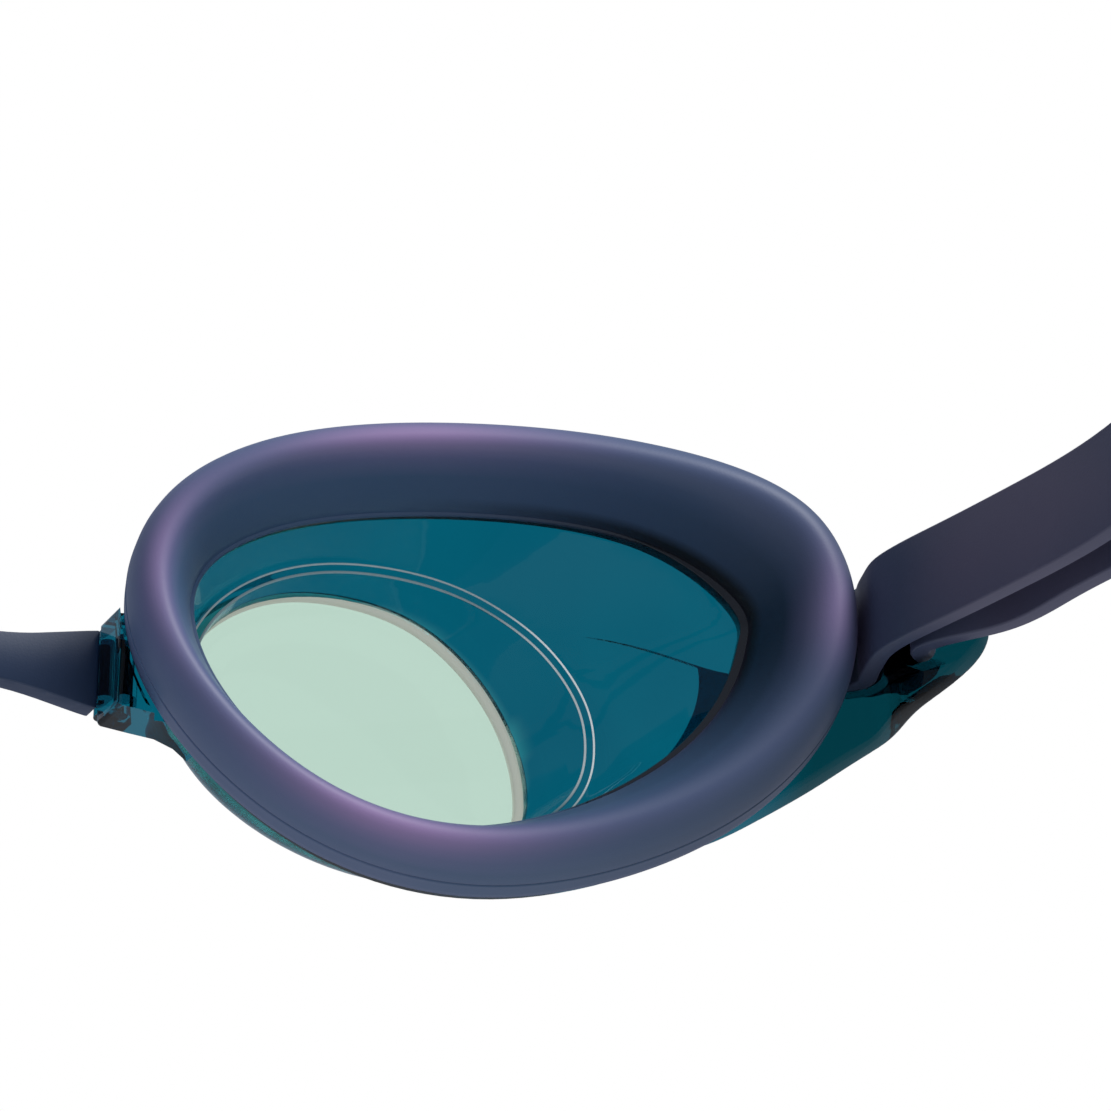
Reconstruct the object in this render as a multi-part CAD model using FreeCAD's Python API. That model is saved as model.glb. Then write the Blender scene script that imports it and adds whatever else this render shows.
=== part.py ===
import FreeCAD, Part
import math
import os

# Swim goggles, millimetres. +Z is up, the goggles look towards -Y and the wearer's right eye is at -X.
# The origin is midway between the cups, just behind the nose bridge. The left side mirrors the right.

V = FreeCAD.Vector

# ---- driving dimensions ----
CUP_CENTRE = V(-37.0, 18.5, -0.9)    # middle of the right face seal's crest
WRAP_DEG = 18.0                      # how far each cup turns round the face

# Levels along the cup's axis: 0 is the crest that touches the face, less is further forward.
SEAL_BASE = -8.0
CARRIER_FRONT = -9.6
FLANGE_FRONT = -11.2
STEP = -15.0
LENS_BACK = -18.9
CUP_FRONT = -20.6
LENS_RISE = 0.4                      # window's edge in front of the cup
LENS_CROWN = -21.3

# Face seal outline as (across, up, width of the seal there), clockwise from the nose as the wearer sees it.
SEAL_OUTLINE = [
    (-29.2, 6.0, 5.4), (-25.8, 15.1, 5.6), (-15.5, 20.5, 5.9), (-0.7, 22.0, 6.0),
    (14.3, 20.8, 6.6), (27.2, 15.6, 8.6), (30.9, 5.0, 8.7), (27.2, -4.7, 8.5),
    (17.2, -13.0, 7.4), (1.1, -17.4, 6.0), (-14.3, -13.7, 5.2), (-25.0, -4.3, 5.3)]
# Window outline, matched point for point with the seal's.
WINDOW = [
    (-23.6, 5.0), (-21.3, 9.2), (-17.4, 11.2), (-12.5, 11.6), (-5.6, 9.7), (0.0, 4.9),
    (3.1, -0.6), (4.1, -5.6), (2.4, -9.4), (-5.4, -10.4), (-14.2, -7.4), (-20.9, -1.8)]
RIM_CENTRE = (-6.8, 0.9)             # stepped rim between the cup's wall and the window's well
RIM_RADII = (17.6, 12.4)
RIM_TILT_DEG = -17.0
RIM_LEDGE = 0.8

CREST_INSET = 2.3                    # crest line, inboard of the seal's outer edge
CREST_FLAT = 0.5
# The seal's two faces as (inset, share of its width, level).
SEAL_OUTER_FACE = [(0.0, 0.0, SEAL_BASE), (0.1, 0.0, -5.0), (0.35, 0.0, -2.6), (1.1, 0.0, -0.8),
                   (CREST_INSET, 0.0, 0.0)]
SEAL_INNER_FACE = [(0.0, 1.0, SEAL_BASE - 0.5), (0.4, 0.86, -5.6), (0.9, 0.6, -2.6),
                   (CREST_INSET + CREST_FLAT, 0.0, 0.05)]
SEAL_ROOM = 0.3                      # kept clear round the seal
CARRIER_INSET = 0.9
CARRIER_LAP, CARRIER_SHARE = -1.45, 1.25    # its inner edge, as a distance and a share of the seal
FLANGE_INSET = 0.9
WALL = 1.9
FRONT_WALL = 0.9                     # round the window
WINDOW_LAP = 1.2
WINDOW_CLEARANCE = 0.05
WINDOW_BEVEL = (0.8, 0.7)            # (inset, height) of the window's front edge
WINDOW_CROWN_INSET = 4.2
OVERRUN = 1.0                        # how far cutting shapes run past what they cut

# Middle of the arm in plan as (across, towards the face), from the cup's wall to the tip.
ARM_PATH = [(6.0, -15.0), (12.0, -13.9), (18.0, -12.95), (24.0, -12.1), (29.5, -11.1), (33.2, -9.0),
            (34.1, -6.2), (34.8, -3.4), (36.0, -1.2), (38.0, 0.6), (40.5, 1.9)]
ARM_THICK = 2.0
ARM_EDGE = 0.45
ARM_CHORD = (0.791, 0.612)           # direction of the arm's side view, in the cup's own frame
# Arm edges in that side view as (along the chord, height).
ARM_BOTTOM = [(-0.5, -10.2), (5.5, -11.4), (10.9, -10.75), (15.3, -8.45), (19.6, -5.6), (24.1, -2.9),
              (27.6, -1.9), (31.4, -1.2), (34.9, 0.3), (36.5, 1.7), (37.3, 3.4)]
ARM_TIP_TOP = [(37.3, 9.4), (36.7, 11.0), (35.2, 11.7)]
ARM_TOP = [(35.2, 11.7), (29.0, 11.9), (24.6, 11.6), (21.9, 10.0), (20.2, 6.6), (17.6, 4.0), (13.2, 4.3),
           (8.5, 6.3), (4.0, 7.8), (-0.5, 8.6)]
FRONT_SLOT = (24.3, 30.6)            # stretches along the arm
REAR_SLOT = (34.7, 38.1)
FRONT_LOW, REAR_LOW, SLOT_HIGH = 2.1, 1.6, 10.7
SLOT_CORNER = 0.9
ARM_STATIONS = 13
PLATE_LOW, PLATE_TALL = -16.0, 34.0  # blank that the arm's side view is cut from

STRAP_WIDE = 8.2
STRAP_THICK = 1.6
STRAP_UP = 6.3                       # middle of the strap above the cup's middle, at the arm
# Strap round the arm's bar, from the outer layer through the rear slot and back out of the front slot.
WRAP_PATH = [(40.4, 6.1), (38.0, 3.9), (36.0, 2.0), (35.1, 0.3), (35.6, -1.3), (36.6, -2.7),
             (36.9, -4.4), (36.3, -7.0), (34.9, -9.3), (32.9, -10.5), (31.25, -10.0), (31.95, -8.0),
             (32.05, -6.0), (32.05, -3.4), (32.2, -0.8), (33.0, 1.8), (35.7, 7.4)]
# Strap round the head as (x, y, z) on the right, from the arm to the middle of the back.
UPPER_BAND = [(-68.7, 36.9, 5.4), (-70.0, 45.0, 5.5), (-71.9, 58.0, 6.4), (-73.6, 76.0, 12.7),
              (-73.4, 100.0, 27.4), (-66.5, 127.0, 42.0), (-51.0, 151.0, 52.0), (-27.0, 165.0, 57.0),
              (0.0, 169.0, 58.5)]
LOWER_BAND = [(-73.6, 37.0, 5.4), (-74.8, 45.0, 5.5), (-76.6, 58.0, 5.8), (-78.2, 76.0, 7.3),
              (-77.8, 100.0, 11.2), (-71.5, 130.0, 15.0), (-56.0, 157.0, 18.5), (-32.0, 173.0, 20.5),
              (-12.0, 177.4, 21.0), (-5.0, 177.7, 21.0)]
SIDE_STATIONS = 10                   # sections in the part of each band that bends with the arm
BACK_STATIONS = 22
WRAP_STATIONS = 34
FOLD_STATIONS = 20
SIDE_SHARE = 0.235                   # share of a band that bends with the arm
LOWER_END = 0.97                     # where the lower band meets its fold through the clip
SHARE_GAP = 0.0012                   # share of a band left open between its parts
STRAP_GAP = 0.3

# The nose bridge runs in front of the tabs, level with their upper part.
BRIDGE_PROFILE = [(0.0, 4.0), (3.5, 4.15), (6.0, 4.8), (8.5, 5.8), (11.4, 6.9)]    # (across, height)
BRIDGE_THICK = 2.4
BRIDGE_Y, BRIDGE_Z = -4.3, 1.6       # middle of the strip
EYE_HIGH = 4.4
EYE_R = 1.65
NECK_THICK = 2.0
NECK_ROOT = 1.0                      # how far the neck runs into the strip
POST_X = -13.0
POST_R = 0.75
POST_ROOT = 0.4                      # how far the post runs into each lug
POST_CLEARANCE = 0.06
SOCKET_R = 2.0
SOCKET_HIGH = 4.9
LUG_R = 1.4
LUG_LOW, LUG_HIGH = -2.1, 5.2
TAB_NOSE = -11.2                     # the tab's side that faces the nose
TAB_DEEP = 2.8                       # half its depth
TAB_HIGH = 5.45
TAB_EDGE = 0.6
LUG_ROOT = 0.5                       # how far the lugs run into the tab
# Underside of the tab as (across, height), falling towards the cup.
TAB_BOTTOM = [(TAB_NOSE, -3.4), (-14.1, -3.7), (-16.3, -3.9), (-18.0, -4.5), (-19.2, -5.4)]

CLIP_CENTRE = V(0.0, 179.8, 21.0)
CLIP_LONG, CLIP_DEEP, CLIP_HIGH = 34.0, 2.0, 13.0
CLIP_CORNER = 3.0
CLIP_SLOT_X, CLIP_SLOT_WIDE, CLIP_SLOT_HIGH = 5.0, 3.4, 9.0
TAIL_ROOT, TAIL_LONG = 18.0, 20.0
TAIL_Y = 181.8                       # middle of the strap's thickness outside the clip
TAIL_CORNER = 3.0
# Fold of the band's end through the clip as (x, y) on the right, from the head side to the outside.
FOLD_PATH = [(-9.6, 177.7), (-7.0, 177.6), (-5.2, 178.3), (-4.7, 179.8), (-5.3, 181.2), (-7.2, TAIL_Y),
             (-10.0, TAIL_Y), (-14.0, TAIL_Y), (-TAIL_ROOT + STRAP_GAP, TAIL_Y)]

# ---- cup frame: across (u), up (v), towards the face (w) ----
wrap = math.radians(WRAP_DEG)
ACROSS = V(-math.cos(wrap), math.sin(wrap), 0)
UP = V(0, 0, 1)
BACK = V(math.sin(wrap), math.cos(wrap), 0)
TO_WORLD = FreeCAD.Matrix(
    ACROSS.x, UP.x, BACK.x, CUP_CENTRE.x,
    ACROSS.y, UP.y, BACK.y, CUP_CENTRE.y,
    ACROSS.z, UP.z, BACK.z, CUP_CENTRE.z,
    0, 0, 0, 1)


def to_world(shape):
    placed = shape.copy()
    placed.transformShape(TO_WORLD)
    return placed


def closed_spline(points):
    curve = Part.BSplineCurve()
    curve.interpolate(Points=points, PeriodicFlag=True, Parameters=list(range(len(points) + 1)))
    return curve


def outward(points):
    """Unit outward normal at each point of a clockwise (across, up) outline."""
    curve = closed_spline([V(u, v, 0) for u, v in points])
    normals = []
    for index in range(len(points)):
        along = curve.tangent(index)[0]
        normals.append((-along.y, along.x))
    return normals


def offset(points, distances):
    """Moves each point of an outline outward by its own distance."""
    return [(u + nu * d, v + nv * d)
            for (u, v), (nu, nv), d in zip(points, outward(points), distances)]


SEAL = [(u, v) for u, v, width in SEAL_OUTLINE]
SEAL_WIDTH = [width for u, v, width in SEAL_OUTLINE]


def seal_ring(inset, share=0.0):
    """The seal's outline moved in by a distance and by a share of the seal's width."""
    return offset(SEAL, [-(inset + share * width) for width in SEAL_WIDTH])


def rim(grow):
    """The stepped rim's ellipse, with points matched to the seal's outline."""
    tilt = math.radians(RIM_TILT_DEG)
    a, b = RIM_RADII[0] + grow, RIM_RADII[1] + grow
    points = []
    for u, v in SEAL:
        du, dv = u - RIM_CENTRE[0], v - RIM_CENTRE[1]
        x = du * math.cos(tilt) + dv * math.sin(tilt)
        y = -du * math.sin(tilt) + dv * math.cos(tilt)
        turn = math.atan2(y / b, x / a)
        x, y = a * math.cos(turn), b * math.sin(turn)
        points.append((RIM_CENTRE[0] + x * math.cos(tilt) - y * math.sin(tilt),
                       RIM_CENTRE[1] + x * math.sin(tilt) + y * math.cos(tilt)))
    return points


def window(grow):
    return offset(WINDOW, [grow] * len(WINDOW))


def wire_at(points, level):
    return Part.Wire([closed_spline([V(u, v, level) for u, v in points]).toShape()])


def loft(rings, straight=False):
    """Solid through (outline, level) rings."""
    return Part.makeLoft([wire_at(points, level) for points, level in rings], True, straight)


def prism(points, low, high):
    return Part.Face(wire_at(points, low)).extrude(V(0, 0, high - low))


# ---- face seal and its carrier ----
def make_gasket():
    outer, inner = [loft([(seal_ring(inset, share), level) for inset, share, level in face])
                    for face in (SEAL_OUTER_FACE, SEAL_INNER_FACE)]
    return outer.cut(inner)


def make_carrier():
    body = prism(seal_ring(CARRIER_INSET), CARRIER_FRONT, SEAL_BASE)
    return body.cut(prism(seal_ring(CARRIER_LAP, CARRIER_SHARE), CARRIER_FRONT - OVERRUN,
                          SEAL_BASE + OVERRUN))


# ---- cup, arm and nose tab, one moulding ----
def arm_curve():
    curve = Part.BSplineCurve()
    curve.interpolate([V(u, 0, w) for u, w in ARM_PATH])
    return curve


def arm_point(curve, distance, off=0.0):
    """Point at a distance along the arm, moved off towards the face, and the arm's direction there."""
    parameter = curve.parameterAtDistance(distance, curve.FirstParameter)
    along = curve.tangent(parameter)[0]
    side = V(-along.z, 0, along.x)
    return curve.value(parameter) + side * off, along


def arm_plate(curve):
    """The arm's curved plate, tall enough for its side view to be cut from it."""
    lines = []
    for off in (-ARM_THICK / 2, ARM_THICK / 2):
        line = Part.BSplineCurve()
        line.interpolate([arm_point(curve, curve.length() * i / (ARM_STATIONS - 1), off)[0]
                          + V(0, PLATE_LOW, 0) for i in range(ARM_STATIONS)])
        lines.append(line)
    ends = [Part.makeLine(lines[0].StartPoint, lines[1].StartPoint),
            Part.makeLine(lines[0].EndPoint, lines[1].EndPoint)]
    outline = Part.Wire(Part.__sortEdges__([lines[0].toShape(), ends[1], lines[1].toShape(), ends[0]]))
    return Part.Face(outline).extrude(V(0, PLATE_TALL, 0))


def arm_side_view():
    """Solid with the arm's side view, standing across the arm."""
    chord = V(ARM_CHORD[0], 0, ARM_CHORD[1])
    side = V(-chord.z, 0, chord.x)
    start = V(ARM_PATH[0][0], 0, ARM_PATH[0][1])
    reach = 20.0

    def place(c, v):
        return start + chord * c + V(0, v, 0) - side * reach

    bottom = Part.BSplineCurve()
    bottom.interpolate([place(c, v) for c, v in ARM_BOTTOM])
    corner = Part.Arc(*[place(c, v) for c, v in ARM_TIP_TOP])
    top = Part.BSplineCurve()
    top.interpolate([place(c, v) for c, v in ARM_TOP])
    outline = Part.Wire([bottom.toShape(),
                         Part.makeLine(place(*ARM_BOTTOM[-1]), place(*ARM_TIP_TOP[0])),
                         corner.toShape(), top.toShape(),
                         Part.makeLine(place(*ARM_TOP[-1]), place(*ARM_BOTTOM[0]))])
    return Part.Face(outline).extrude(side * 2 * reach)


def arm_slot(curve, start, end, low):
    """Block across the arm between two distances along it, with rounded corners in its side view."""
    middle, along = arm_point(curve, (start + end) / 2)
    side = V(-along.z, 0, along.x)
    half, reach = (end - start) / 2, 2 * ARM_THICK
    corner = middle - along * half - side * reach + V(0, low, 0)
    tall = V(0, SLOT_HIGH - low, 0)
    corners = [corner, corner + along * 2 * half, corner + along * 2 * half + tall, corner + tall, corner]
    block = Part.Face(Part.makePolygon(corners)).extrude(side * 2 * reach)
    edges = [edge for edge in block.Edges
             if abs((edge.Vertexes[1].Point - edge.Vertexes[0].Point).dot(side)) > reach]
    return block.makeFillet(SLOT_CORNER, edges)


def make_arm():
    curve = arm_curve()
    arm = arm_plate(curve).common(arm_side_view())
    rims = [edge for edge in arm.Edges if edge.Length > 1.2 * ARM_THICK]
    arm = arm.makeFillet(ARM_EDGE, rims)
    return arm.cut([arm_slot(curve, *FRONT_SLOT, FRONT_LOW), arm_slot(curve, *REAR_SLOT, REAR_LOW)])


def make_cup():
    """The cup with its flange and arm, still solid, in the cup's own frame."""
    flange = prism(seal_ring(FLANGE_INSET), FLANGE_FRONT, CARRIER_FRONT)
    body = loft([(seal_ring(-WALL, 1.0), CARRIER_FRONT), (rim(WALL), STEP - 0.6),
                 (window(WINDOW_LAP + FRONT_WALL), CUP_FRONT)])
    return body.fuse([flange, make_arm()])


def cavities():
    """Room for the eye, the window's well and the window's seat, in the cup's own frame."""
    hollow = loft([(seal_ring(CARRIER_LAP, CARRIER_SHARE), CARRIER_FRONT + 0.1), (rim(0.0), STEP)])
    well = loft([(rim(-RIM_LEDGE), STEP + 0.1), (window(0.0), LENS_BACK)])
    seat = prism(window(WINDOW_LAP), CUP_FRONT - OVERRUN, LENS_BACK)
    return [to_world(space) for space in (hollow, well, seat)]


def seal_envelope():
    """The space kept for the seal and its carrier, in the cup's own frame."""
    return prism(seal_ring(-SEAL_ROOM), CARRIER_FRONT, 2 * OVERRUN)


def make_tab():
    """Nose tab with two lugs in front that hold the bridge's post, in world coordinates."""
    outline = [V(x, -TAB_DEEP, z) for x, z in TAB_BOTTOM]
    outline += [V(TAB_BOTTOM[-1][0], -TAB_DEEP, TAB_HIGH), V(TAB_NOSE, -TAB_DEEP, TAB_HIGH), outline[0]]
    block = Part.Face(Part.makePolygon(outline)).extrude(V(0, 2 * TAB_DEEP, 0))
    nose_edges = [edge for edge in block.Edges
                  if all(abs(vertex.Point.x - TAB_NOSE) < 0.01 for vertex in edge.Vertexes)]
    tab = block.makeFillet(TAB_EDGE, nose_edges)
    tall = LUG_HIGH - LUG_LOW
    reach = -TAB_DEEP - BRIDGE_Y + LUG_ROOT
    tip = Part.makeCylinder(LUG_R, tall, V(POST_X, BRIDGE_Y, LUG_LOW))
    root = Part.makeBox(2 * LUG_R, reach, tall, V(POST_X - LUG_R, BRIDGE_Y, LUG_LOW))
    return tab.fuse([tip, root])


def make_socket():
    """Room for the bridge's eye between the lugs."""
    low = BRIDGE_Z - SOCKET_HIGH / 2
    round_part = Part.makeCylinder(SOCKET_R, SOCKET_HIGH, V(POST_X, BRIDGE_Y, low))
    mouth = Part.makeBox(2 * SOCKET_R, -TAB_DEEP - BRIDGE_Y, SOCKET_HIGH, V(POST_X, BRIDGE_Y, low))
    return round_part.fuse(mouth)


def make_frame():
    """Cup, arm and nose tab as one moulding, with the post in its socket."""
    low = BRIDGE_Z - SOCKET_HIGH / 2
    post = Part.makeCylinder(POST_R, SOCKET_HIGH + 2 * POST_ROOT, V(POST_X, BRIDGE_Y, low - POST_ROOT))
    solid = to_world(make_cup()).fuse(make_tab().cut(to_world(seal_envelope())))
    return solid.cut(cavities() + [make_socket()]).fuse(post).removeSplitter()


def make_lens():
    edge = window(WINDOW_LAP - WINDOW_CLEARANCE)
    inset, high = WINDOW_BEVEL
    return loft([(edge, LENS_BACK), (edge, CUP_FRONT - LENS_RISE + high),
                 (window(WINDOW_LAP - inset), CUP_FRONT - LENS_RISE),
                 (window(WINDOW_LAP - WINDOW_CROWN_INSET), LENS_CROWN)], True)


# ---- nose bridge ----
def make_bridge():
    """Flat strip that flares towards its ends, with an eye round each post."""
    front = BRIDGE_Y - BRIDGE_THICK / 2
    edges = []
    for sign in (1, -1):
        line = Part.BSplineCurve()
        line.interpolate([V(-x, front, BRIDGE_Z + sign * high / 2) for x, high in BRIDGE_PROFILE[::-1]]
                         + [V(x, front, BRIDGE_Z + sign * high / 2) for x, high in BRIDGE_PROFILE[1:]])
        edges.append(line)
    ends = [Part.makeLine(edges[0].StartPoint, edges[1].StartPoint),
            Part.makeLine(edges[0].EndPoint, edges[1].EndPoint)]
    outline = Part.Wire(Part.__sortEdges__([edges[0].toShape(), ends[1], edges[1].toShape(), ends[0]]))
    strip = Part.Face(outline).extrude(V(0, BRIDGE_THICK, 0))
    reach = BRIDGE_PROFILE[-1][0] - NECK_ROOT
    low = BRIDGE_Z - EYE_HIGH / 2
    bore_high = EYE_HIGH + 2 * OVERRUN
    for x in (POST_X, -POST_X):
        eye = Part.makeCylinder(EYE_R, EYE_HIGH, V(x, BRIDGE_Y, low))
        neck = Part.makeBox(abs(x) - reach, NECK_THICK, EYE_HIGH,
                            V(min(x, math.copysign(reach, x)), BRIDGE_Y - NECK_THICK / 2, low))
        bore = Part.makeCylinder(POST_R + POST_CLEARANCE, bore_high, V(x, BRIDGE_Y, low - OVERRUN))
        strip = strip.fuse([eye, neck]).cut(bore)
    return strip.removeSplitter()


# ---- straps ----
def band(points, sections, start, end):
    """Flat band on edge along a smooth line, between two shares of the line's length."""
    line = Part.BSplineCurve()
    line.interpolate(points)
    wires = []
    for i in range(sections):
        distance = line.length() * (start + (end - start) * i / (sections - 1))
        parameter = line.parameterAtDistance(distance, line.FirstParameter)
        along = line.tangent(parameter)[0]
        side = V(-along.y, along.x, 0).normalize() * (STRAP_THICK / 2)
        up = along.cross(side).normalize() * (STRAP_WIDE / 2)
        if up.z < 0:
            up = up * -1
        middle = line.value(parameter)
        wires.append(Part.makePolygon([middle - side - up, middle + side - up, middle + side + up,
                                       middle - side + up, middle - side - up]))
    return Part.makeLoft(wires, True, True)


def make_wrap():
    height = STRAP_UP + CUP_CENTRE.z
    path = [CUP_CENTRE + ACROSS * u + BACK * w for u, w in WRAP_PATH]
    return band([V(p.x, p.y, height) for p in path], WRAP_STATIONS, 0.0, 1.0)


def route(points, side=1):
    """Route points as vectors, on the right or, with side -1, on the left."""
    return [V(side * x, y, z) for x, y, z in points]


def make_clip():
    """Flat buckle at the back that both ends of the lower band fold through."""
    plate = Part.makeBox(CLIP_LONG, CLIP_DEEP, CLIP_HIGH,
                         CLIP_CENTRE - V(CLIP_LONG / 2, CLIP_DEEP / 2, CLIP_HIGH / 2))
    upright = [edge for edge in plate.Edges
               if abs(edge.Vertexes[1].Point.y - edge.Vertexes[0].Point.y) > CLIP_DEEP / 2]
    plate = plate.makeFillet(CLIP_CORNER, upright)
    for x in (-CLIP_SLOT_X, CLIP_SLOT_X):
        corner = CLIP_CENTRE + V(x - CLIP_SLOT_WIDE / 2, -CLIP_DEEP / 2 - OVERRUN, -CLIP_SLOT_HIGH / 2)
        plate = plate.cut(Part.makeBox(CLIP_SLOT_WIDE, CLIP_DEEP + 2 * OVERRUN, CLIP_SLOT_HIGH, corner))
    return plate


def make_fold():
    return band([V(x, y, CLIP_CENTRE.z) for x, y in FOLD_PATH], FOLD_STATIONS, 0.0, 1.0)


def make_tail():
    """Free end of the band, with a rounded tip."""
    tail = Part.makeBox(TAIL_LONG, STRAP_THICK, STRAP_WIDE,
                        V(-TAIL_ROOT - TAIL_LONG, TAIL_Y - STRAP_THICK / 2, CLIP_CENTRE.z - STRAP_WIDE / 2))
    tip = [edge for edge in tail.Edges
           if all(abs(vertex.Point.x + TAIL_ROOT + TAIL_LONG) < 0.01 for vertex in edge.Vertexes)
           and abs(edge.Vertexes[1].Point.y - edge.Vertexes[0].Point.y) > STRAP_THICK / 2]
    return tail.makeFillet(TAIL_CORNER, tip)


# ---- the kept pieces ----
upper_right, lower_right = route(UPPER_BAND), route(LOWER_BAND)
RIGHT = {
    "frame": make_frame(),
    "lens": to_world(make_lens()),
    "gasket": to_world(make_gasket()),
    "carrier": to_world(make_carrier()),
    "strap_wrap": make_wrap(),
    "strap_side_upper": band(upper_right, SIDE_STATIONS, SHARE_GAP, SIDE_SHARE),
    "strap_side_lower": band(lower_right, SIDE_STATIONS, SHARE_GAP, SIDE_SHARE),
    "strap_back_lower": band(lower_right, BACK_STATIONS, SIDE_SHARE + SHARE_GAP, LOWER_END),
    "strap_fold": make_fold(),
    "strap_tail": make_tail(),
}
full_upper = upper_right + route(UPPER_BAND[-2::-1], -1)
MIDDLE = {
    "nose_bridge": make_bridge(),
    "strap_back_upper": band(full_upper, 2 * BACK_STATIONS, SIDE_SHARE / 2 + SHARE_GAP,
                             1 - SIDE_SHARE / 2 - SHARE_GAP),
    "back_clip": make_clip(),
}

os.makedirs("parts", exist_ok=True)
for name, shape in MIDDLE.items():
    shape.exportStep("parts/" + name + ".step")
for name, shape in RIGHT.items():
    shape.exportStep("parts/" + name + "_right.step")
    shape.mirror(V(0, 0, 0), V(1, 0, 0)).exportStep("parts/" + name + "_left.step")
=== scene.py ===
import math

import bmesh
import bpy
import numpy as np
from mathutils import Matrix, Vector


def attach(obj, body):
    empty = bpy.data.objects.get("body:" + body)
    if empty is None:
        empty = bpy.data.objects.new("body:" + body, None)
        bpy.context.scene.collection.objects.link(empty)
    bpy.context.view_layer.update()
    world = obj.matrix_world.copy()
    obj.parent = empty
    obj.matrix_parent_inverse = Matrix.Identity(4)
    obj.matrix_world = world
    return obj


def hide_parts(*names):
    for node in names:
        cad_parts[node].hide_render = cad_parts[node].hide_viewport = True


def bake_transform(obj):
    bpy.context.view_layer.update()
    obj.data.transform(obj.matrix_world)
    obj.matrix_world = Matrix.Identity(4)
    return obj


# Swim goggles. +Z is up, the goggles look towards -Y and the wearer's right eye is at -X. The left side
# mirrors the right. Shapes are in millimetres, which MM turns into metres. Materials, lights and camera are
# in metres.
MM = 0.001
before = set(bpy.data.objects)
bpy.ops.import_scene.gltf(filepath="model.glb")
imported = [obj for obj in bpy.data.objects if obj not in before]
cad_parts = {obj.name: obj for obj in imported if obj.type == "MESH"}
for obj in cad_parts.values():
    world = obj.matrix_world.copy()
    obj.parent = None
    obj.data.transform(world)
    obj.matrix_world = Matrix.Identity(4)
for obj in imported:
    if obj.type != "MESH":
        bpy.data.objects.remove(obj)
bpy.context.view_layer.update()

# ---- cup frame, as in the CAD model: across to the temple, up, and back along the cup's axis ----
CUP_CENTRE = np.array([-37.0, 18.5, -0.9])
WRAP = math.radians(18.0)
ACROSS = np.array([-math.cos(WRAP), math.sin(WRAP), 0.0])
BACK = np.array([math.sin(WRAP), math.cos(WRAP), 0.0])
UP = np.array([0.0, 0.0, 1.0])

# ---- face seal ----
# Outline: across, up, width of the seal there. Places round a cup are counted in these points, from 0 at the
# nose over 3 at the top and 6 at the temple to 9 at the bottom.
SEAL = np.array([
    (-29.2, 6.0, 5.4), (-25.8, 15.1, 5.6), (-15.5, 20.5, 5.9), (-0.7, 22.0, 6.0),
    (14.3, 20.8, 6.6), (27.2, 15.6, 8.6), (30.9, 5.0, 8.7), (27.2, -4.7, 8.5),
    (17.2, -13.0, 7.4), (1.1, -17.4, 6.0), (-14.3, -13.7, 5.2), (-25.0, -4.3, 5.3)])
ROUND = len(SEAL)
SEAL_USUAL_WIDTH = 5.8
SEAL_POINTS = 264                         # points of each ring round the seal
# Section, once round: inset, share of the width, level. Level is 0 at the face, and negative to the front.
SEAL_SECTION = [
    (0.6, 0.0, -8.0), (0.14, 0.0, -7.95), (0.0, 0.0, -7.75), (0.0, 0.0, -6.9), (0.03, 0.0, -6.0),
    (0.05, 0.0, -5.3), (0.04, 0.0, -5.06), (0.09, 0.0, -4.99), (0.27, 0.0, -4.95), (0.27, 0.0, -4.83),
    (0.11, 0.0, -4.79), (0.1, 0.0, -4.6), (0.17, 0.0, -3.9), (0.27, 0.0, -3.1), (0.45, 0.0, -2.3),
    (0.75, 0.0, -1.45), (1.2, 0.0, -0.72), (1.75, 0.0, -0.24), (2.3, 0.0, -0.02), (2.6, 0.02, -0.02),
    (2.65, 0.09, -0.2), (2.4, 0.2, -0.62), (1.95, 0.34, -1.35), (1.45, 0.48, -2.35), (1.05, 0.61, -3.5),
    (0.72, 0.74, -4.8), (0.45, 0.85, -6.0), (0.22, 0.94, -7.1), (0.06, 0.99, -7.8), (0.02, 1.0, -8.2),
    (0.1, 1.0, -8.4), (0.3, 0.985, -8.44), (0.6, 0.95, -8.3), (0.8, 0.9, -8.0)]
# Painted purple highlight, along the crest only.
CREST_INSET, CREST_SPREAD, CREST_LOWEST = 2.4, 1.3, -3.0
CREST_HIGHLIGHT_LEAST = 0.1
# Where the painted highlight is strongest: place, spread, share.
CREST_HIGHLIGHT_PATCHES = [(0.2, 1.0, 0.6), (2.6, 0.75, 0.85), (5.9, 0.5, 0.5), (9.6, 0.75, 0.95)]
# Painted shade on the side towards the temple, which the crest is partly spared.
TEMPLE_SHADE_PLACE, TEMPLE_SHADE_SPREAD = 6.3, 2.5
TEMPLE_SHADE_SPARED, TEMPLE_SHADE_SPARED_SPREAD = 0.55, 1.6
# Dark band under the inner lip: it fades in and out between these places, and lies below this level.
LIP_FADE_IN, LIP_FADE_OUT, LIP_HIGHEST = (2.4, 4.4), (6.4, 7.6), -6.5

# ---- window and stepped rim, as in the CAD model ----
WINDOW = np.array([
    (-23.6, 5.0), (-21.3, 9.2), (-17.4, 11.2), (-12.5, 11.6), (-5.6, 9.7), (0.0, 4.9),
    (3.1, -0.6), (4.1, -5.6), (2.4, -9.4), (-5.4, -10.4), (-14.2, -7.4), (-20.9, -1.8)])
WINDOW_LEVEL, STEP_LEVEL = -18.9, -15.0
RIM_CENTRE, RIM_RADII = np.array([-6.8, 0.9]), np.array([17.6, 12.4])
RIM_TILT = math.radians(-17.0)
EDGE_POINTS, EDGE_NEAR, EDGE_LEVEL_NEAR = 480, 0.15, 0.1      # how the window's edge is found on the shell
BEAD_POINTS, BEAD_SECTION = 240, 8        # points round a ridge, and round its section
# Places where the painted highlight on the rim's ridges brightens towards the temple and fades towards the
# bottom.
GLINT_RISE, GLINT_FALL = (3.6, 5.0), (7.3, 8.3)

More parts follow.
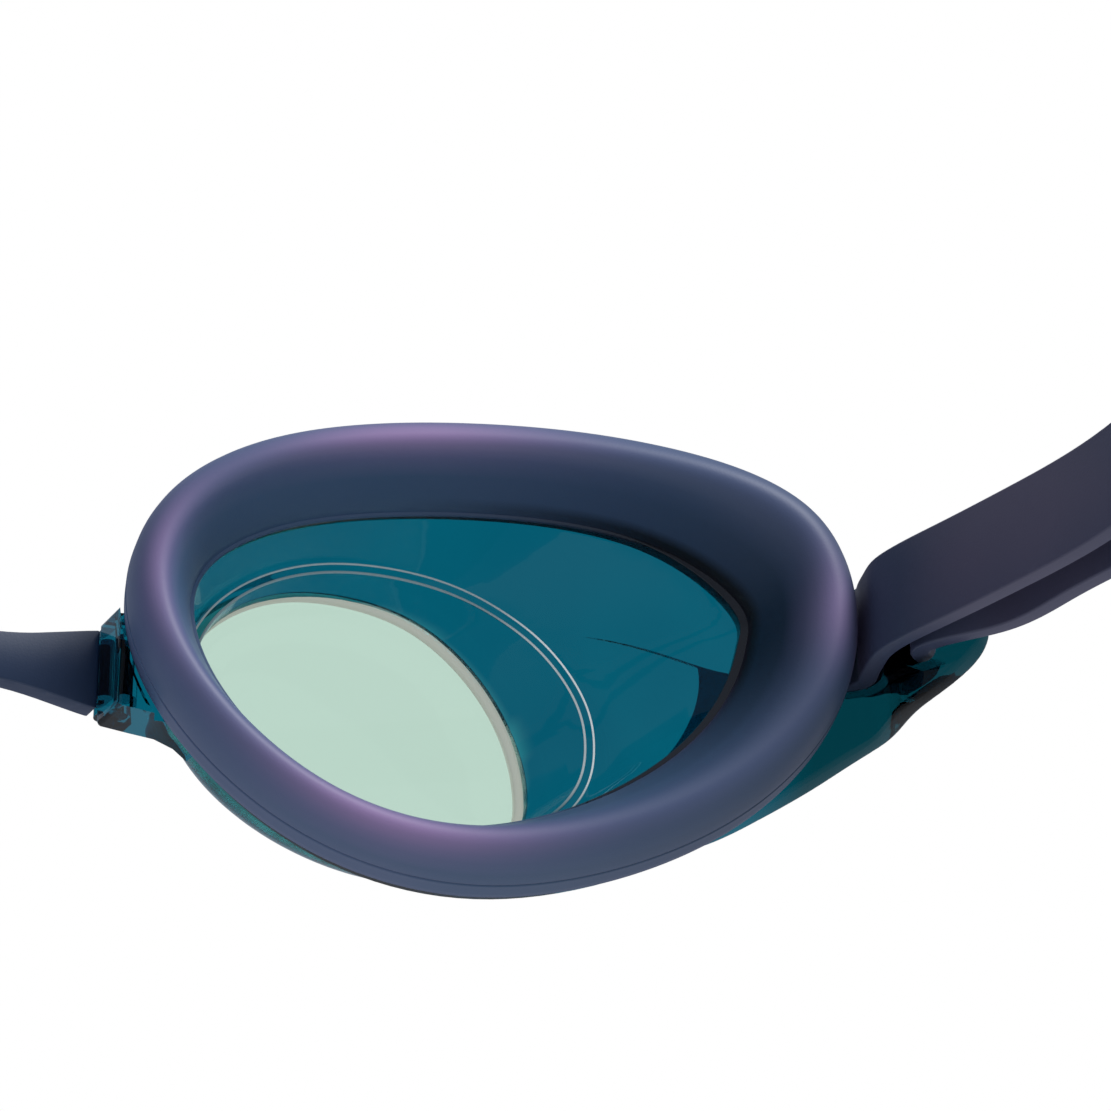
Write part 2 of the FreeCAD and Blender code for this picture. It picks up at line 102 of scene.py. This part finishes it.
# ---- strap, as in the CAD model ----
STRAP_WIDE, STRAP_THICK, STRAP_CORNER = 8.2, 1.6, 0.22
ROUTE_SAMPLES = 3000
FEWEST_RINGS = 4
CAP_ANGLE, RIGID_ANGLE, BEVEL_ANGLE = math.radians(50), math.radians(38), math.radians(34)
STRAP_UP = 6.3
# Round the arm's slotted bar: across, back.
WRAP_PATH = [(40.4, 6.1), (38.0, 3.9), (36.0, 2.0), (35.1, 0.3), (35.6, -1.3), (36.6, -2.7), (36.9, -4.4),
             (36.3, -7.0), (34.9, -9.3), (32.9, -10.5), (31.25, -10.0), (31.95, -8.0), (32.05, -6.0),
             (32.05, -3.4), (32.2, -0.8), (33.0, 1.8), (35.7, 7.4)]
UPPER_BAND = [(-68.7, 36.9, 5.4), (-70.0, 45.0, 5.5), (-71.9, 58.0, 6.4), (-73.6, 76.0, 12.7),
              (-73.4, 100.0, 27.4), (-66.5, 127.0, 42.0), (-51.0, 151.0, 52.0), (-27.0, 165.0, 57.0),
              (0.0, 169.0, 58.5)]
BAND_JOIN = 3                             # point of the upper band where its side and back stretches meet
LOWER_BAND = [(-73.6, 37.0, 5.4), (-74.8, 45.0, 5.5), (-76.6, 58.0, 5.8), (-78.2, 76.0, 7.3),
              (-77.8, 100.0, 11.2), (-71.5, 130.0, 15.0), (-56.0, 157.0, 18.5), (-32.0, 173.0, 20.5),
              (-12.0, 177.4, 21.0)]
FOLD_PATH = [(-12.0, 177.4, 21.0), (-9.6, 177.7, 21.0), (-7.0, 177.6, 21.0), (-5.2, 178.3, 21.0),
             (-4.7, 179.8, 21.0), (-5.3, 181.2, 21.0), (-7.2, 181.8, 21.0), (-10.0, 181.8, 21.0),
             (-18.0, 181.8, 21.0), (-37.9, 181.8, 21.0)]
SIDE_SPACING, BACK_SPACING, FOLD_SPACING = 0.7, 1.0, 0.4


# ---- curves ----
def spline(points, closed):
    """Knots and second derivatives of the cubic line through points.
    The knots are evenly spaced on a closed line and follow the chords' lengths on an open one."""
    points = np.asarray(points, float)
    count = len(points)
    if closed:
        rows = 4 * np.eye(count) + np.roll(np.eye(count), 1, 1) + np.roll(np.eye(count), -1, 1)
        rhs = 6 * (np.roll(points, -1, 0) - 2 * points + np.roll(points, 1, 0))
        return np.arange(count + 1.0), np.linalg.solve(rows, rhs)
    knots = np.concatenate([[0.0], np.cumsum(np.linalg.norm(np.diff(points, axis=0), axis=1))])
    rows = np.eye(count)
    rhs = np.zeros_like(points)
    for i in range(1, count - 1):
        before, after = knots[i] - knots[i - 1], knots[i + 1] - knots[i]
        rows[i, i - 1:i + 2] = before, 2 * (before + after), after
        rhs[i] = 6 * ((points[i + 1] - points[i]) / after - (points[i] - points[i - 1]) / before)
    return knots, np.linalg.solve(rows, rhs)


def sample(points, at, closed=False):
    """Points of the smooth line through points, at the given places along it."""
    points = np.asarray(points, float)
    knots, second = spline(points, closed)
    if closed:
        points = np.vstack([points, points[:1]])
        second = np.vstack([second, second[:1]])
    index = np.clip(np.searchsorted(knots, at, side="right") - 1, 0, len(knots) - 2)
    step = (knots[index + 1] - knots[index])[:, None]
    b = ((at - knots[index]) / step[:, 0])[:, None]
    a = 1 - b
    return (a * points[index] + b * points[index + 1]
            + ((a ** 3 - a) * second[index] + (b ** 3 - b) * second[index + 1]) * step ** 2 / 6)


def outward(points):
    """Unit outward normal of a clockwise outline at each of its points."""
    _, second = spline(points, True)
    slope = np.roll(points, -1, 0) - points - (2 * second + np.roll(second, -1, 0)) / 6
    slope /= np.linalg.norm(slope, axis=1)[:, None]
    return np.stack([-slope[:, 1], slope[:, 0]], 1)


def smooth_step(value, low, high):
    t = np.clip((value - low) / (high - low), 0, 1)
    return t * t * (3 - 2 * t)


def bell(distance, spread):
    """Share that is 1 at no distance and fades with the spread."""
    return np.exp(-(distance / spread) ** 2)


def places_round(count):
    """Evenly spaced places round a cup."""
    return np.arange(count) * ROUND / count


def places_between(place, other):
    """Places from one to the other, by the short way round."""
    return (place - other + ROUND / 2) % ROUND - ROUND / 2


def path_lengths(line):
    return np.concatenate([[0], np.cumsum(np.linalg.norm(np.diff(line, axis=0), axis=1))])


# ---- rings of the cup ----
def rim_ring(grow, places):
    """The stepped rim's ellipse, its points matched to the seal's outline."""
    cos, sin = math.cos(RIM_TILT), math.sin(RIM_TILT)
    x, y = ((SEAL[:, :2] - RIM_CENTRE) @ np.array([[cos, -sin], [sin, cos]])).T
    radii = RIM_RADII + grow
    turn = np.arctan2(y / radii[1], x / radii[0])
    round_it = np.stack([radii[0] * np.cos(turn), radii[1] * np.sin(turn)], 1)
    return sample(RIM_CENTRE + round_it @ np.array([[cos, sin], [-sin, cos]]), places, True)


def seal_ring(inset, share, places):
    """The seal's outline moved in by an inset and a share of its width."""
    outline = SEAL[:, :2]
    moved = outline - outward(outline) * (inset + share * SEAL[:, 2])[:, None]
    return sample(moved, places, True)


def cup_to_world(ring, level, side):
    """A ring of the cup's frame in metres, on the right with side 1 or mirrored with side -1."""
    depth = np.full(len(ring), level)
    world = CUP_CENTRE + np.outer(ring[:, 0], ACROSS) + np.outer(ring[:, 1], UP) + np.outer(depth, BACK)
    return world * np.array([side, 1, 1]) * MM


# ---- meshes ----
def make_mesh(name, points, faces, flip=False):
    mesh = bpy.data.meshes.new(name)
    ordered = [tuple(face[::-1]) if flip else tuple(face) for face in faces]
    mesh.from_pydata([tuple(point) for point in points], [], ordered)
    mesh.update()
    mesh.shade_smooth()
    piece = bpy.data.objects.new(name, mesh)
    bpy.context.scene.collection.objects.link(piece)
    return piece


def tube_faces(rings, around, closed_rings):
    """Quads between neighbouring rings of the same number of points."""
    faces = []
    for i in range(rings if closed_rings else rings - 1):
        for j in range(around):
            a, b = i * around + j, i * around + (j + 1) % around
            c, d = ((i + 1) % rings) * around + (j + 1) % around, ((i + 1) % rings) * around + j
            faces.append((a, b, c, d))
    return faces


def mark(piece, name, values):
    """Stores one number per point, which a material reads by its name."""
    attribute = piece.data.attributes.new(name, "FLOAT", "POINT")
    attribute.data.foreach_set("value", values.astype(np.float32))


def make_seal(name, side):
    """Soft face seal, marked with where a highlight is painted along its crest, where shade is painted
    towards the temple, and where it is dark under its lip.
    """
    places = places_round(SEAL_POINTS)
    rings = [cup_to_world(seal_ring(inset, share, places), level, side)
             for inset, share, level in SEAL_SECTION]
    piece = make_mesh(name, np.vstack(rings), tube_faces(len(rings), SEAL_POINTS, True), side < 0)
    inset = np.repeat([near + SEAL_USUAL_WIDTH * share for near, share, _ in SEAL_SECTION], SEAL_POINTS)
    level = np.repeat([height for _, _, height in SEAL_SECTION], SEAL_POINTS)
    place = np.tile(places, len(SEAL_SECTION))
    # Painted highlight along the crest: a little everywhere, and more at the patches where it is strongest.
    pearl = np.full(len(place), CREST_HIGHLIGHT_LEAST)
    for patch, spread, most in CREST_HIGHLIGHT_PATCHES:
        pearl += most * bell(places_between(place, patch), spread)
    from_crest = inset - CREST_INSET
    on_top = level > CREST_LOWEST
    mark(piece, "crest", bell(from_crest, CREST_SPREAD) * on_top * pearl)
    # Painted shade on the temple side, partly spared along the crest.
    spared = TEMPLE_SHADE_SPARED * bell(from_crest, TEMPLE_SHADE_SPARED_SPREAD) * on_top
    mark(piece, "temple_shade", bell(places_between(place, TEMPLE_SHADE_PLACE), TEMPLE_SHADE_SPREAD) * (1 - spared))
    along_lip = smooth_step(place, *LIP_FADE_IN) * (1 - smooth_step(place, *LIP_FADE_OUT))
    mark(piece, "lip", along_lip * (level < LIP_HIGHEST) * (inset > CREST_INSET))
    return piece


def make_bead(name, side, ring, level, radius, glint):
    """Fine rounded ridge along an outline of the cup. Glint is how much painted highlight colour it carries.
    """
    rings = []
    for step in range(BEAD_SECTION):
        turn = 2 * math.pi * step / BEAD_SECTION
        moved = ring + outward(ring) * radius * math.cos(turn)
        rings.append(cup_to_world(moved, level + radius * math.sin(turn), side))
    piece = make_mesh(name, np.vstack(rings), tube_faces(BEAD_SECTION, len(ring), True), side > 0)
    mark(piece, "glint", np.tile(glint, BEAD_SECTION))
    return piece


def rounded_section(wide, thick, corner, steps=4):
    """Outline of a flat band with rounded corners."""
    points = []
    for quarter, (right, top) in enumerate(((1, -1), (1, 1), (-1, 1), (-1, -1))):
        for step in range(steps + 1):
            turn = math.pi / 2 * (quarter - 1 + step / steps)
            points.append((right * (thick / 2 - corner) + corner * math.cos(turn),
                           top * (wide / 2 - corner) + corner * math.sin(turn)))
    return np.array(points)


def ribbon(name, points, spacing, side=1, first=0, last=-1):
    """Flat band on edge along a smooth line, from one of its points to another, with closed ends."""
    knots, _ = spline(points, False)
    fine = np.linspace(0, knots[-1], ROUTE_SAMPLES)
    line = sample(points, fine)
    length = path_lengths(line)
    start, end = np.interp(knots[[first, last]], fine, length)
    count = max(int((end - start) / spacing), FEWEST_RINGS)
    even = np.linspace(start, end, count)
    middle = np.stack([np.interp(even, length, line[:, axis]) for axis in range(3)], 1)
    along = np.gradient(middle, axis=0)
    along /= np.linalg.norm(along, axis=1)[:, None]
    across = np.stack([-along[:, 1], along[:, 0], np.zeros(count)], 1)
    across /= np.linalg.norm(across, axis=1)[:, None]
    up = np.cross(along, across)
    outline = rounded_section(STRAP_WIDE, STRAP_THICK, STRAP_CORNER)
    rings = [middle[i] + np.outer(outline[:, 0], across[i]) + np.outer(outline[:, 1], up[i])
             for i in range(count)]
    around = len(outline)
    faces = tube_faces(count, around, False)
    faces.append(tuple(range(around))[::-1])
    faces.append(tuple(range((count - 1) * around, count * around)))
    piece = make_mesh(name, np.vstack(rings) * np.array([side, 1, 1]) * MM, faces, side > 0)
    piece.data.set_sharp_from_angle(angle=CAP_ANGLE)
    return piece


# ---- material helpers ----
def material(name, colour, **settings):
    made = bpy.data.materials.new(name)
    made.use_nodes = True
    shader = made.node_tree.nodes["Principled BSDF"]
    shader.inputs["Base Color"].default_value = (*colour, 1.0)
    for setting, value in settings.items():
        shader.inputs[setting.replace("_", " ")].default_value = value
    return made


def feed(made, source, *names):
    """Links a node's output to the shader's inputs."""
    for name in names:
        made.node_tree.links.new(source, made.node_tree.nodes["Principled BSDF"].inputs[name])


def node(tree, kind, **inputs):
    new = tree.nodes.new(kind)
    for name, value in inputs.items():
        new.inputs[name.replace("_", " ")].default_value = value
    return new


def position(tree):
    """Place on the object in metres."""
    return tree.nodes.new("ShaderNodeTexCoord").outputs["Object"]


def noise(tree, scale, detail, distortion=0.0):
    cloud = node(tree, "ShaderNodeTexNoise", Scale=scale, Detail=detail, Distortion=distortion)
    tree.links.new(position(tree), cloud.inputs["Vector"])
    return cloud.outputs["Fac"]


def ramp(tree, source, start, end, low=0.0, high=1.0, smooth=False):
    """Turns start to end of the source into low to high."""
    span = node(tree, "ShaderNodeMapRange", From_Min=start, From_Max=end, To_Min=low, To_Max=high)
    if smooth:
        span.interpolation_type = "SMOOTHSTEP"
    tree.links.new(source, span.inputs["Value"])
    return span.outputs["Result"]


def calculate(tree, operation, *sources):
    worker = tree.nodes.new("ShaderNodeMath")
    worker.operation = operation
    for i, source in enumerate(sources):
        tree.links.new(source, worker.inputs[i])
    return worker.outputs["Value"]


def marked(tree, name):
    """Reads the numbers that mark() stored."""
    reader = tree.nodes.new("ShaderNodeAttribute")
    reader.attribute_name = name
    return reader.outputs["Fac"]


def mix(tree, share, below, above):
    """Goes from one colour to another by the share. A colour is a tuple or a node's output."""
    made = tree.nodes.new("ShaderNodeMix")
    made.data_type = "RGBA"
    tree.links.new(share, made.inputs["Factor"])
    for name, colour in (("A", below), ("B", above)):
        if isinstance(colour, tuple):
            made.inputs[name].default_value = (*colour, 1.0)
        else:
            tree.links.new(colour, made.inputs[name])
    return made.outputs["Result"]


def fine_bump(made, scale, depth, detail=3.0):
    """Moulded surface grain, its depth in metres."""
    tree = made.node_tree
    bump = node(tree, "ShaderNodeBump", Distance=depth, Strength=1.0)
    tree.links.new(noise(tree, scale, detail), bump.inputs["Height"])
    feed(made, bump.outputs["Normal"], "Normal")


# ---- soft parts ----
SILICONE_SHEEN = (0.55, 0.42, 0.85, 1.0)
SILICONE_CLOUD = 38.0, 2.0                # scale, detail
SILICONE_CLOUD_START, SILICONE_CLOUD_END = 0.35, 0.7
SILICONE_DULLNESS = 0.44, 0.54            # lowest and highest roughness
SILICONE_DULLNESS_CLOUD = 120.0, 4.0
SILICONE_GRAIN, SILICONE_GRAIN_DEPTH = 5200.0, 0.00001


def silicone(name, body, pearl, spread, zones=()):
    """Silicone with faint pearl clouds. Zones are marked places with a colour painted over them, the last on
    top; on the seal two of them are painted highlight and painted shade.
    """
    made = material(name, body, Specular_IOR_Level=0.4, Sheen_Weight=0.1, Sheen_Roughness=0.4,
                    Sheen_Tint=SILICONE_SHEEN)
    tree = made.node_tree
    share = ramp(tree, noise(tree, *SILICONE_CLOUD), SILICONE_CLOUD_START, SILICONE_CLOUD_END, 0.0, spread)
    colour = mix(tree, share, body, pearl)
    for zone, own_colour in zones:
        colour = mix(tree, marked(tree, zone), colour, own_colour)
    feed(made, colour, "Base Color")
    fine_bump(made, SILICONE_GRAIN, SILICONE_GRAIN_DEPTH)
    feed(made, ramp(tree, noise(tree, *SILICONE_DULLNESS_CLOUD), 0.0, 1.0, *SILICONE_DULLNESS), "Roughness")
    return made


# Purple of the seal's faint clouds, and of the highlight painted along its crest.
SEAL_CLOUD_AND_HIGHLIGHT = (0.33, 0.225, 0.43)
# The seal's zones: painted shade on the temple side, a painted purple highlight along the crest, and a dark
# band under the inner lip.
SEAL_ZONES = [("temple_shade", (0.01, 0.028, 0.056)), ("crest", SEAL_CLOUD_AND_HIGHLIGHT), ("lip", (0.003, 0.005, 0.009))]

# ---- clear plastic: the base colour is what a wall lets through, so the thicker arms are darker ----
CUP_TINT, CUP_TINT_LIGHT = (0.001, 0.085, 0.142), (0.0015, 0.12, 0.18)
ARM_TINT, WELL_TINT = (0.001, 0.042, 0.058), (0.62, 0.66, 0.56)
CUP_SWIRLS = 42.0, 1.5, 1.6               # scale, detail, distortion
ARM_START, ARM_END = 0.062, 0.067         # distance from the middle, in metres
# Along the cup's axis in metres: the window's back, and the depth of the pale edge round it.
WINDOW_PLACE, WELL_DEPTH = float(CUP_CENTRE @ BACK + WINDOW_LEVEL) * MM, 0.0016


def shell_plastic(name):
    """Tinted clear plastic with faint swirls, darker in the arm and pale at the window's edge."""
    made = material(name, CUP_TINT, Roughness=0.04, IOR=1.16, Transmission_Weight=1.0,
                    Coat_Weight=0.14, Coat_Roughness=0.04)
    tree = made.node_tree
    split = tree.nodes.new("ShaderNodeSeparateXYZ")
    tree.links.new(position(tree), split.inputs["Vector"])
    outboard = calculate(tree, "ABSOLUTE", split.outputs["X"])
    swirled = mix(tree, noise(tree, *CUP_SWIRLS), CUP_TINT, CUP_TINT_LIGHT)
    with_arm = mix(tree, ramp(tree, outboard, ARM_START, ARM_END), swirled, ARM_TINT)
    # Both cups' axes are the same line once X is counted outwards from the middle.
    flat = tree.nodes.new("ShaderNodeCombineXYZ")
    tree.links.new(outboard, flat.inputs["X"])
    tree.links.new(split.outputs["Y"], flat.inputs["Y"])
    backward = tree.nodes.new("ShaderNodeVectorMath")
    backward.operation = "DOT_PRODUCT"
    backward.inputs[1].default_value = (-math.sin(WRAP), math.cos(WRAP), 0.0)
    tree.links.new(flat.outputs["Vector"], backward.inputs[0])
    by_window = ramp(tree, backward.outputs["Value"], WINDOW_PLACE, WINDOW_PLACE + WELL_DEPTH, 1.0, 0.0,
                     smooth=True)
    well_share = calculate(tree, "MULTIPLY", by_window, marked(tree, "well"))
    feed(made, mix(tree, well_share, with_arm, WELL_TINT), "Base Color")
    fine_bump(made, 190.0, 0.00002, 1.0)
    return made


def bead_material(name, plain, light, glow):
    """Moulded edge painted with a highlight where it is marked. The glow is painted light, standing in for
    light in the edge.
    """
    made = material(name, plain, Roughness=0.2, Emission_Strength=glow)
    colour = mix(made.node_tree, marked(made.node_tree, "glint"), plain, light)
    feed(made, colour, "Base Color", "Emission Color")
    fine_bump(made, 900.0, 0.000004)
    return made


# Ridges along the rim that glow with a painted highlight, pale towards the temple.
rim_highlight_bead = bead_material("rim_highlight_bead", (0.004, 0.1, 0.14), (0.92, 0.96, 0.94), 0.3)
# Pale edge round the window, a ridge that glows with painted light.
window_glow_bead = bead_material("window_glow_bead", (0.5, 0.55, 0.47), (0.58, 0.61, 0.51), 0.42)

# ---- the record's material slots ----
MATERIALS = {
    "teal_shell": shell_plastic("teal_shell"),
    "window": material("window", (0.5, 0.68, 0.585), Roughness=0.02, IOR=1.12, Transmission_Weight=1.0,
                       Coat_Weight=0.3, Coat_Roughness=0.02),
    "seal_silicone": silicone("seal_silicone", (0.055, 0.115, 0.218), SEAL_CLOUD_AND_HIGHLIGHT, 0.1, SEAL_ZONES),
    "carrier_plastic": material("carrier_plastic", (0.006, 0.01, 0.018), Roughness=0.22),
    "bridge_silicone": silicone("bridge_silicone", (0.011, 0.03, 0.078), (0.02, 0.04, 0.09), 0.4),
    "strap_silicone": silicone("strap_silicone", (0.034, 0.047, 0.09), (0.11, 0.088, 0.14), 0.6),
    "clip_plastic": material("clip_plastic", (0.02, 0.027, 0.055), Roughness=0.4)}
fine_bump(MATERIALS["window"], 90.0, 0.000004, 1.0)
fine_bump(MATERIALS["carrier_plastic"], 900.0, 0.000006)
fine_bump(MATERIALS["clip_plastic"], 2600.0, 0.00002)


def dress(piece, slot):
    piece.data.materials.clear()
    piece.data.materials.append(MATERIALS[slot])
    return piece


def mark_well(piece, side):
    """Marks the shell's edge round the back of the window, where its wall thins out."""
    points = np.array([v.co for v in piece.data.vertices]) / MM * np.array([side, 1, 1]) - CUP_CENTRE
    edge = sample(WINDOW, places_round(EDGE_POINTS), True)
    seen_along_axis = np.stack([points @ ACROSS, points @ UP], 1)
    gap = np.array([np.min(np.linalg.norm(edge - point, axis=1)) for point in seen_along_axis])
    mark(piece, "well", (gap < EDGE_NEAR) & (np.abs(points @ BACK - WINDOW_LEVEL) < EDGE_LEVEL_NEAR))


WELD = 0.002 * MM                         # points closer than this are one


def rounded_copy(name, cad_node, slot, body, radius=0.0):
    """A hard part keeps its CAD shape, with smooth shading and edges rounded by the radius."""
    piece = bpy.data.objects.new(name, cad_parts[cad_node].data.copy())
    bpy.context.scene.collection.objects.link(piece)
    work = bmesh.new()
    work.from_mesh(piece.data)
    bmesh.ops.remove_doubles(work, verts=work.verts, dist=WELD)
    bmesh.ops.dissolve_degenerate(work, edges=work.edges, dist=WELD)
    work.to_mesh(piece.data)
    work.free()
    for attribute in ("custom_normal", "sharp_edge", "sharp_face"):
        if attribute in piece.data.attributes:
            piece.data.attributes.remove(piece.data.attributes[attribute])
    piece.data.shade_smooth()
    if radius:
        bevel = piece.modifiers.new("edges", "BEVEL")
        bevel.width, bevel.segments = radius * MM, 2
        bevel.limit_method, bevel.angle_limit = "ANGLE", BEVEL_ANGLE
        bevel.harden_normals = False
        bpy.context.view_layer.objects.active = piece
        piece.select_set(True)
        bpy.ops.object.modifier_apply(modifier="edges")
        piece.select_set(False)
    piece.data.set_sharp_from_angle(angle=RIGID_ANGLE)
    dress(piece, slot)
    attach(piece, body)
    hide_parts(cad_node)
    return piece


def blend_bend(piece):
    """Bakes a strap's placement into its points."""
    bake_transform(piece)


# ---- both sides ----
bead_places = places_round(BEAD_POINTS)
# Painted highlight along the rim's ridges: some at the nose, more towards the temple, none along the bottom.
towards_temple = smooth_step(bead_places, *GLINT_RISE)
above_bottom = 1 - smooth_step(bead_places, *GLINT_FALL)
outer_glint = (0.4 + 0.6 * towards_temple) * above_bottom
inner_glint = (0.25 + 0.4 * towards_temple) * above_bottom
window_edge = sample(WINDOW, bead_places, True)
window_edge = window_edge + outward(window_edge) * 0.32
# Each ridge: name, outline, level, radius, glint, material.
BEADS = [
    ("rim_outer", rim_ring(-0.05, bead_places), STEP_LEVEL, 0.09, outer_glint, rim_highlight_bead),
    ("rim_inner", rim_ring(-0.8, bead_places), STEP_LEVEL - 0.05, 0.12, inner_glint, rim_highlight_bead),
    ("window_glow_bead", window_edge, WINDOW_LEVEL + 0.3, 0.5, np.ones(BEAD_POINTS), window_glow_bead)]
wrap_world = [tuple(CUP_CENTRE + ACROSS * u + BACK * w + UP * STRAP_UP) for u, w in WRAP_PATH]
STRAP_ROUTE = LOWER_BAND[:0:-1] + wrap_world + UPPER_BAND[1:]

for side, word in ((1, "right"), (-1, "left")):
    cup = word + "_cup"
    seal = dress(make_seal("seal_" + word, side), "seal_silicone")
    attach(seal, cup)
    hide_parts("gasket_" + word)
    mark_well(rounded_copy("shell_" + word, "frame_" + word, "teal_shell", cup), side)
    for bead, ring, level, radius, glint, paint in BEADS:
        ridge = make_bead(bead + "_" + word, side, ring, level, radius, glint)
        ridge.data.materials.append(paint)
        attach(ridge, cup)
    rounded_copy("window_" + word, "lens_" + word, "window", cup)
    rounded_copy("seal_carrier_" + word, "carrier_" + word, "carrier_plastic", cup, 0.12)
    strap = ribbon("strap_" + word, STRAP_ROUTE, SIDE_SPACING, side, last=BAND_JOIN - len(UPPER_BAND))
    dress(strap, "strap_silicone")
    blend_bend(strap)
    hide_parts("strap_side_upper_" + word, "strap_wrap_" + word, "strap_side_lower_" + word,
                "strap_back_lower_" + word)
    end = ribbon("strap_end_" + word, FOLD_PATH, FOLD_SPACING, side)
    dress(end, "strap_silicone")
    blend_bend(end)
    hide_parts("strap_fold_" + word, "strap_tail_" + word)

# ---- parts in the middle ----
full_upper = UPPER_BAND + [(-x, y, z) for x, y, z in UPPER_BAND[-2::-1]]
back = ribbon("strap_back", full_upper, BACK_SPACING, first=BAND_JOIN, last=-1 - BAND_JOIN)
dress(back, "strap_silicone")
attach(back, "bridge")
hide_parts("strap_back_upper")
rounded_copy("bridge_strip", "nose_bridge", "bridge_silicone", "bridge", 0.35)
rounded_copy("clip", "back_clip", "clip_plastic", "bridge", 0.35)

# ---- floor ----
REACH, DROP = 6.0, -0.26
floor_mesh = bpy.data.meshes.new("floor")
floor_corners = [(-REACH, -REACH, DROP), (REACH, -REACH, DROP), (REACH, REACH, DROP), (-REACH, REACH, DROP)]
floor_mesh.from_pydata(floor_corners, [], [(0, 1, 2, 3)])
floor = bpy.data.objects.new("floor", floor_mesh)
bpy.context.scene.collection.objects.link(floor)
floor.data.materials.append(material("floor_paint", (0.86, 0.86, 0.85), Roughness=0.9))

# ---- world: white where it is seen, directly or through clear plastic, and a soft blue light elsewhere ----
world = bpy.data.worlds.new("studio")
world.use_nodes = True
sky = world.node_tree
sky.nodes["Background"].inputs["Color"].default_value = (1.0, 1.0, 1.0, 1.0)
ambient = node(sky, "ShaderNodeBackground", Color=(0.8, 0.86, 1.0, 1.0), Strength=0.45)
ray = sky.nodes.new("ShaderNodeLightPath")
either = sky.nodes.new("ShaderNodeMixShader")
is_seen = calculate(sky, "MAXIMUM", ray.outputs["Is Camera Ray"], ray.outputs["Is Transmission Ray"])
sky.links.new(is_seen, either.inputs["Fac"])
sky.links.new(ambient.outputs["Background"], either.inputs[1])
sky.links.new(sky.nodes["Background"].outputs["Background"], either.inputs[2])
sky.links.new(either.outputs["Shader"], sky.nodes["World Output"].inputs["Surface"])
bpy.context.scene.world = world
bpy.context.scene.view_settings.view_transform = "Standard"

# ---- one soft lamp, behind and above ----
LAMP_PLACE, LAMP_AIM = Vector((-0.25, 0.35, 0.45)), Vector((-0.04, 0.02, 0.0))
lamp_data = bpy.data.lights.new("key", "AREA")
lamp_data.size, lamp_data.energy = 0.3, 3.0
lamp = bpy.data.objects.new("key", lamp_data)
lamp.location = LAMP_PLACE
lamp.rotation_euler = (LAMP_AIM - LAMP_PLACE).to_track_quat("-Z", "Y").to_euler()
bpy.context.scene.collection.objects.link(lamp)

# ---- camera: behind and below the right cup ----
CAMERA_PLACE, CAMERA_LOOK = (0.088883, 0.300856, -0.116769), Vector((-0.39184, -0.84030, 0.37461))
camera_data = bpy.data.cameras.new("camera")
camera_data.lens, camera_data.sensor_width = 133.66, 36.0
camera = bpy.data.objects.new("camera", camera_data)
camera.location = CAMERA_PLACE
camera.rotation_euler = CAMERA_LOOK.to_track_quat("-Z", "Y").to_euler()
bpy.context.scene.collection.objects.link(camera)
bpy.context.scene.camera = camera
